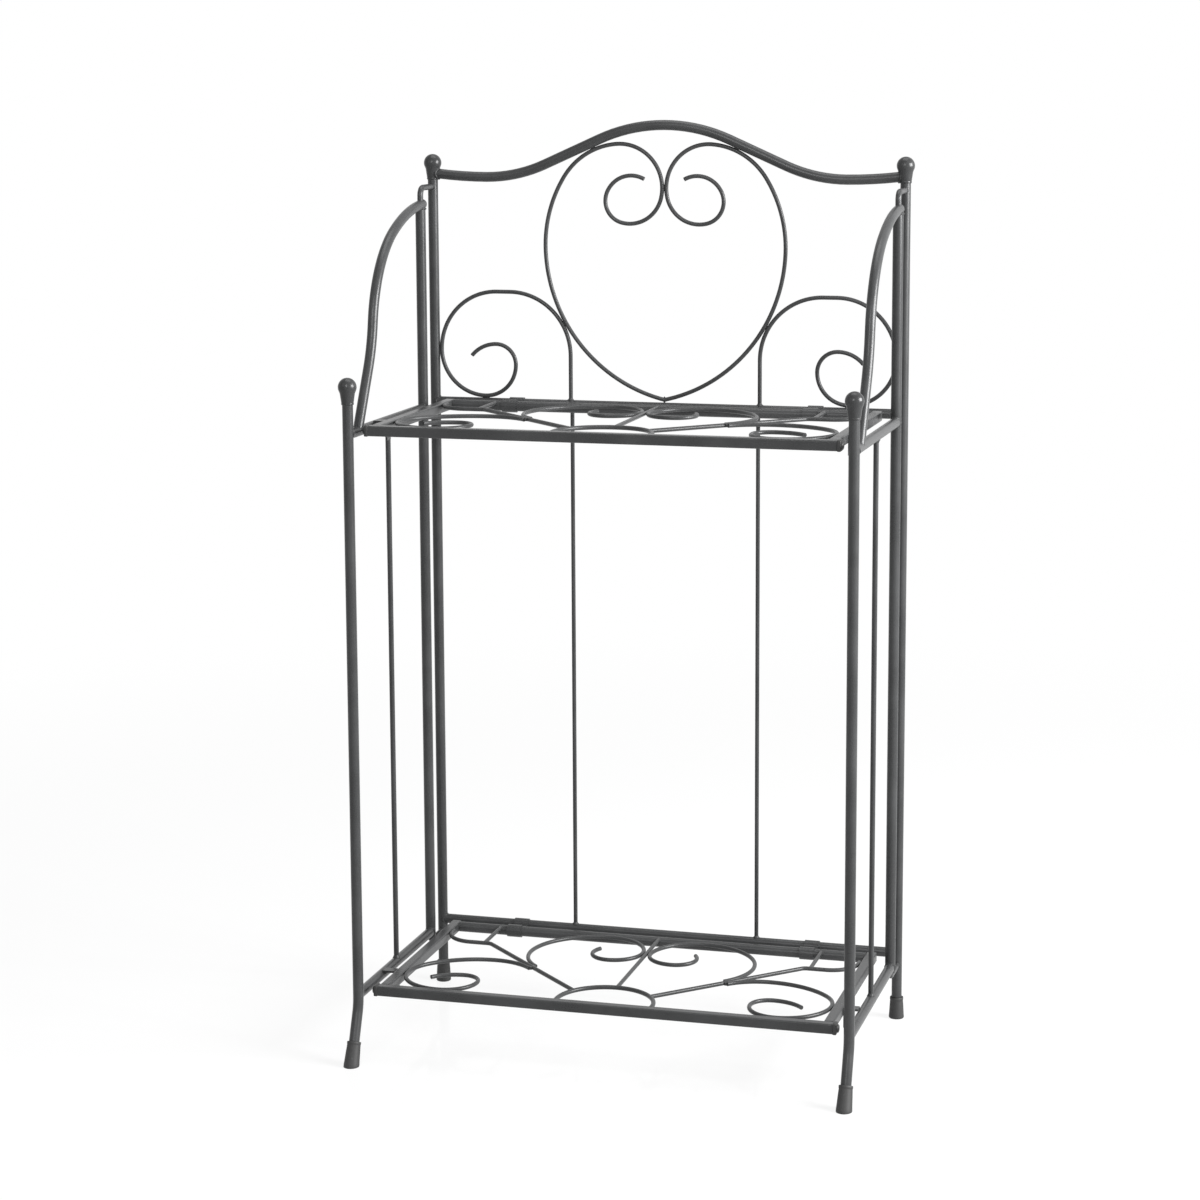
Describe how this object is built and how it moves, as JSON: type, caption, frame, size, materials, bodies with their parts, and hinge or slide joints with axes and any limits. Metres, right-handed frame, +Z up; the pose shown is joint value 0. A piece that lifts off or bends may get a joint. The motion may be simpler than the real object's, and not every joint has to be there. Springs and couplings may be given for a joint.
{
  "type": "folding plant stand",
  "caption": "Folding wrought-style metal plant stand: a tall scrolled back frame, hinged side frames with curved arms, and open scrollwork shelves that fold up flat.",
  "frame": {"origin": "on the floor under the middle of the stand's overall box", "axes": "+X to the stand's right seen from the front, -Y to the front, +Z up"},
  "size_m": [0.508, 0.298, 0.9131],
  "materials": {
    "tube_paint": "semi-gloss black powder coat",
    "wire_paint": "semi-gloss black powder coat",
    "finial_paint": "glossy black paint",
    "foot_plastic": "matt black cap",
    "plug_plastic": "matt black plug",
    "bush_nylon": "black nylon"
  },
  "bodies": {
    "back_frame": {"back_left_post": "tube_paint", "back_right_post": "tube_paint", "back_left_finial": "finial_paint", "back_right_finial": "finial_paint", "back_left_foot": "foot_plastic", "back_right_foot": "foot_plastic", "top_arch": "tube_paint", "back_upper_rail": "tube_paint", "back_lower_rail": "tube_paint", "heart_left": "wire_paint", "heart_right": "wire_paint", "left_side_scroll": "wire_paint", "right_side_scroll": "wire_paint", "back_left_wire": "wire_paint", "back_right_wire": "wire_paint", "left_upper_hinge_pin": "tube_paint", "right_upper_hinge_pin": "tube_paint", "left_lower_hinge_pin": "tube_paint", "right_lower_hinge_pin": "tube_paint", "upper_shelf_brackets": "tube_paint", "lower_shelf_brackets": "tube_paint"},
    "left_side_frame": {"left_front_post": "tube_paint", "left_front_finial": "finial_paint", "left_front_foot": "foot_plastic", "left_arm": "tube_paint", "left_hinge_tube": "tube_paint", "left_hinge_bushes": "bush_nylon", "left_upper_side_rail": "tube_paint", "left_lower_side_rail": "tube_paint", "left_side_wire": "wire_paint"},
    "right_side_frame": {"right_front_post": "tube_paint", "right_front_finial": "finial_paint", "right_front_foot": "foot_plastic", "right_arm": "tube_paint", "right_hinge_tube": "tube_paint", "right_hinge_bushes": "bush_nylon", "right_upper_side_rail": "tube_paint", "right_lower_side_rail": "tube_paint", "right_side_wire": "wire_paint"},
    "upper_shelf": {"upper_front_rail": "tube_paint", "upper_left_rail": "tube_paint", "upper_right_rail": "tube_paint", "upper_rear_tube": "tube_paint", "upper_half_round": "wire_paint", "upper_left_scrolls": "wire_paint", "upper_right_scrolls": "wire_paint", "upper_left_rest": "tube_paint", "upper_right_rest": "tube_paint", "upper_end_plugs": "plug_plastic"},
    "lower_shelf": {"lower_front_rail": "tube_paint", "lower_left_rail": "tube_paint", "lower_right_rail": "tube_paint", "lower_rear_tube": "tube_paint", "lower_half_round": "wire_paint", "lower_left_scrolls": "wire_paint", "lower_right_scrolls": "wire_paint", "lower_left_rest": "tube_paint", "lower_right_rest": "tube_paint", "lower_end_plugs": "plug_plastic"}
  },
  "joints": [
    {"name": "upper_shelf_fold", "type": "hinge", "parent": "back_frame", "child": "upper_shelf", "pos_m": [0, 0.11504, 0.6235], "axis": [-1, 0, 0], "range_deg": [0, 90]},
    {"name": "lower_shelf_fold", "type": "hinge", "parent": "back_frame", "child": "lower_shelf", "pos_m": [0, 0.11504, 0.0685], "axis": [-1, 0, 0], "range_deg": [0, 90]},
    {"name": "left_frame_swing", "type": "hinge", "parent": "back_frame", "child": "left_side_frame", "pos_m": [-0.245, 0.10004, 0], "axis": [0, 0, -1], "range_deg": [0, 90]},
    {"name": "right_frame_swing", "type": "hinge", "parent": "back_frame", "child": "right_side_frame", "pos_m": [0.245, 0.10004, 0], "axis": [0, 0, 1], "range_deg": [0, 90]}
  ]
}
